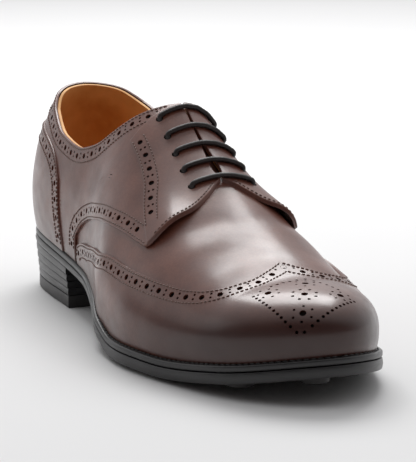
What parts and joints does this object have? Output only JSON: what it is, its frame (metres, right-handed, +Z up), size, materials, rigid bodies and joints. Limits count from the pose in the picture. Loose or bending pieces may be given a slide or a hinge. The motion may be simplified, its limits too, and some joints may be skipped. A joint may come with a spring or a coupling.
{
  "type": "brogue shoe",
  "caption": "Right wingtip derby brogue: low leather upper with winged toe cap, laced facings and heel counter on a welted rubber sole with a stacked heel.",
  "frame": {"origin": "on the floor under the middle of the heel, at the mount heel_rest", "axes": "+X from heel to toe, +Y to the inner (medial) side of this right shoe, +Z up"},
  "size_m": [0.3035, 0.1046, 0.1087],
  "materials": {
    "brown_leather": "dark reddish brown polished calf, soft gloss",
    "tan_lining": "smooth tan lining leather, nearly matt",
    "black_edge": "black burnished sole leather, semi-gloss",
    "sole_rubber": "very dark grey-brown moulded rubber, satin",
    "waxed_lace": "round waxed cotton lace, black-brown"
  },
  "bodies": {
    "root": {"outsole": "sole_rubber", "heel_top_piece": "sole_rubber", "heel_lift_1": "black_edge", "heel_lift_2": "black_edge", "heel_lift_3": "black_edge", "heel_lift_4": "black_edge", "welt": "black_edge", "insole": "tan_lining", "upper": "brown_leather", "toe_cap": "brown_leather", "heel_counter": "brown_leather", "quarter_lateral": "brown_leather", "quarter_medial": "brown_leather", "tongue": "brown_leather", "lace": "waxed_lace"}
  },
  "joints": []
}
